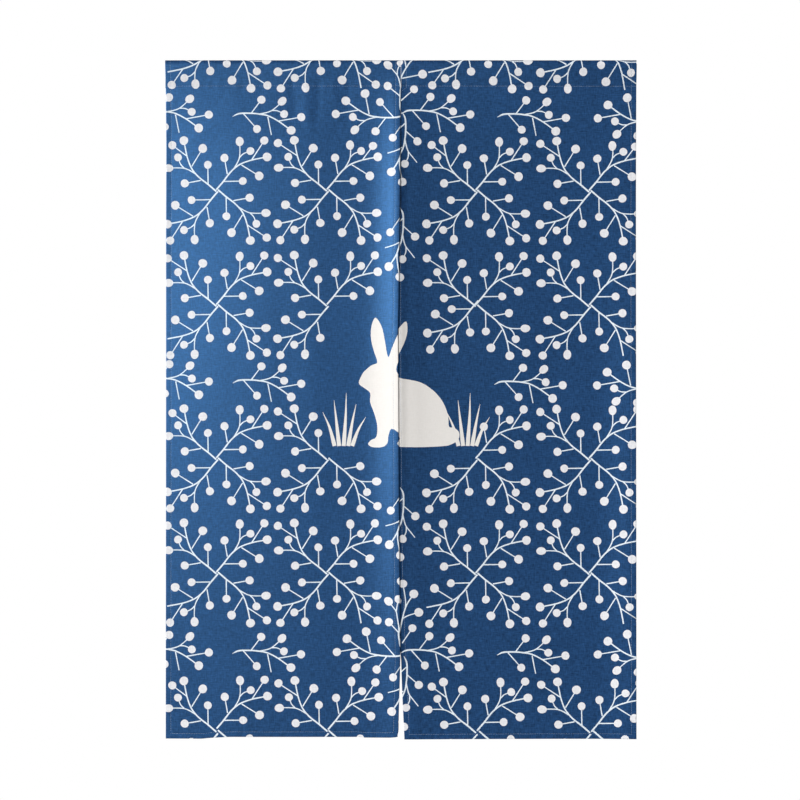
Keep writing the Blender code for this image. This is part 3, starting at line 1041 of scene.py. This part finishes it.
def stitch_tree():
    """Geometry Nodes that set a thread along every path of a mesh."""
    tree = bpy.data.node_groups.new("stitches", "GeometryNodeTree")
    tree.interface.new_socket("Paths", in_out="INPUT", socket_type="NodeSocketGeometry")
    tree.interface.new_socket("Thread", in_out="OUTPUT", socket_type="NodeSocketGeometry")
    for name, kind, value in (("Pitch", "Float", STITCH_PITCH), ("Share", "Float", STITCH_SHARE),
                              ("Thickness", "Float", THREAD_THICK), ("Seed", "Int", 5)):
        socket = tree.interface.new_socket(name, in_out="INPUT", socket_type="NodeSocket" + kind)
        socket.default_value = value
    tree.interface.new_socket("Material", in_out="INPUT", socket_type="NodeSocketMaterial")

    def node(kind, settings=None, inputs=None):
        made = tree.nodes.new(kind)
        for name, value in (settings or {}).items():
            setattr(made, name, value)
        for name, value in (inputs or {}).items():
            if hasattr(value, "links"):
                tree.links.new(value, made.inputs[name])
            else:
                made.inputs[name].default_value = value
        return made

    given, result = node("NodeGroupInput"), node("NodeGroupOutput")
    curve = node("GeometryNodeMeshToCurve", None, {"Mesh": given.outputs["Paths"]})
    points = node("GeometryNodeResampleCurve", {"mode": "LENGTH"},
                  {"Curve": curve.outputs["Curve"], "Length": given.outputs["Pitch"]})
    tangent = node("GeometryNodeInputTangent")
    up = node("GeometryNodeInputNamedAttribute", {"data_type": "FLOAT_VECTOR"}, {"Name": "up"})
    turn = node("FunctionNodeAxesToRotation", {"primary_axis": "Z", "secondary_axis": "X"},
                {"Primary Axis": up.outputs["Attribute"], "Secondary Axis": tangent.outputs["Tangent"]})
    vary = node("FunctionNodeRandomValue", {"data_type": "FLOAT"},
                {2: STITCH_VARIES[0], 3: STITCH_VARIES[1], "Seed": given.outputs["Seed"]})
    length = node("ShaderNodeMath", {"operation": "MULTIPLY"},
                  {0: given.outputs["Pitch"], 1: given.outputs["Share"]})
    varied = node("ShaderNodeMath", {"operation": "MULTIPLY"}, {0: length.outputs[0], 1: vary.outputs[1]})
    size = node("ShaderNodeCombineXYZ", None, {0: varied.outputs[0], 1: given.outputs["Thickness"],
                                               2: given.outputs["Thickness"]})
    thread = node("GeometryNodeMeshUVSphere", None, {"Segments": 6, "Rings": 4, "Radius": 0.5})
    lying = node("GeometryNodeTransform", None,
                 {"Geometry": thread.outputs["Mesh"], "Rotation": (0.0, math.pi / 2, 0.0)})
    rows = node("GeometryNodeInstanceOnPoints", None,
                {"Points": points.outputs["Curve"], "Instance": lying.outputs["Geometry"],
                 "Rotation": turn.outputs["Rotation"], "Scale": size.outputs[0]})
    real = node("GeometryNodeRealizeInstances", None, {"Geometry": rows.outputs["Instances"]})
    smooth_faces = node("GeometryNodeSetShadeSmooth", None, {"Geometry": real.outputs["Geometry"]})
    worn = node("GeometryNodeSetMaterial", None,
                {"Geometry": smooth_faces.outputs["Geometry"], "Material": given.outputs["Material"]})
    tree.links.new(worn.outputs["Geometry"], result.inputs["Thread"])
    return tree


# %% The rows of stitches
STITCH_RISE = 0.00010             # how far the middle of a thread lies over the cloth
PATH_STEP = 0.004
PATH_INSET = 0.001                # gap from the cloth's edge to the first stitch of a row


def stitch_paths(panel):
    """Flat paths of a panel's rows of stitches, as (across, run) arrays."""
    drops = spaced(PATH_INSET, HEM_NOMINAL, PATH_STEP)
    low, high = sides(panel, drops)
    hem = read(PANELS[panel]["hem"], (low + high) / 2)
    paths = []
    for across in (low + HEM_WIDTH, high - HEM_WIDTH):
        keep = drops < hem - HEM_WIDTH
        paths.append(np.stack([across[keep], drops[keep]], 1))
    across = spaced(low[-1] + HEM_WIDTH, high[-1] - HEM_WIDTH, PATH_STEP)
    paths.append(np.stack([across, read(PANELS[panel]["hem"], across) - HEM_WIDTH], 1))
    low, high = sides(panel, 0.0)
    across = spaced(low + PATH_INSET, high - PATH_INSET, PATH_STEP)
    paths.append(np.stack([across, np.full(len(across), POCKET_DEPTH)], 1))
    return paths


def stitches(panel, tree, material):
    """Both faces' stitches of a panel as one plain mesh."""
    verts, edges, ups = [], [], []
    for path in stitch_paths(panel):
        for show, side in ((front_face, 1.0), (back_face, -1.0)):
            up = outward(panel, path[:, 0], path[:, 1], show) * side
            line = show(panel, path[:, 0], path[:, 1]) + up * STITCH_RISE
            first = len(verts)
            verts += line.tolist()
            ups += up.tolist()
            edges += [(first + k, first + k + 1) for k in range(len(line) - 1)]
    mesh = bpy.data.meshes.new("paths")
    mesh.from_pydata(verts, edges, [])
    mesh.attributes.new("up", "FLOAT_VECTOR", "POINT").data.foreach_set("vector", np.ravel(ups))
    paths = bpy.data.objects.new("paths", mesh)
    bpy.context.scene.collection.objects.link(paths)
    modifier = paths.modifiers.new("stitches", "NODES")
    modifier.node_group = tree
    for item in tree.interface.items_tree:
        if item.item_type == "SOCKET" and item.name == "Material":
            modifier[item.identifier] = material
    made = bpy.data.meshes.new_from_object(paths.evaluated_get(bpy.context.evaluated_depsgraph_get()))
    bpy.data.objects.remove(paths)
    made.name = "stitches_" + panel
    piece = bpy.data.objects.new(made.name, made)
    bpy.context.scene.collection.objects.link(piece)
    print(made.name, len(made.polygons), "faces")
    return piece


TWIST = 22000.0                   # radians of the thread's twist in a metre
THREAD_PALE, THREAD_GROOVE_SHADE = (0.40, 0.50, 0.64, 1), (0.30, 0.40, 0.54, 1)


def thread_material():
    """Pale twisted thread: fine slanting stripes across it, the darker ones painted shade of the twist's
    grooves.
    """
    thread = Material("pale_thread")
    place = thread.make("ShaderNodeTexCoord", output=3)
    split = thread.make("ShaderNodeSeparateXYZ", None, {0: place})
    x, y, z = (Socket(thread, split.out.node.outputs[k]) for k in range(3))
    # Painted shade: the colour darkens along slanting stripes, standing in for the shade in the twist's
    # grooves.
    twist = ((x + y * 0.7 + z) * TWIST).sine()
    thread.feed(Base_Color=thread.blend(twist * 0.3 + 0.5, THREAD_PALE, THREAD_GROOVE_SHADE))
    return plain(thread, 0.6, 0.4, UNTINTED)


tree = stitch_tree()
thread = thread_material()
sewing = {panel: stitches(panel, tree, thread) for panel in PANELS}

# %% [markdown]
# ## Handing the pieces to the frame
#
# Each cloth stands for its solid, which stays as the shape that collides. It hangs as a
# sheet, and the size it was cut to before its hems and its pocket were turned is printed.

# %% Ride and replace
SIDE_TURN, END_TURN = 0.015, 0.024          # cloth turned in at each side, and at both ends
for panel, cloth in cloths.items():
    low, high = sides(panel, HEM_NOMINAL / 2)
    flat_size = (float(high - low) + 2 * SIDE_TURN, HEM_NOMINAL - flat_top + END_TURN)
    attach(cloth, "root")
    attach(sewing[panel], "root")
    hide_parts("panel_" + panel)
    print(cloth.name, "cut", np.round(flat_size, 3).tolist(), "m")
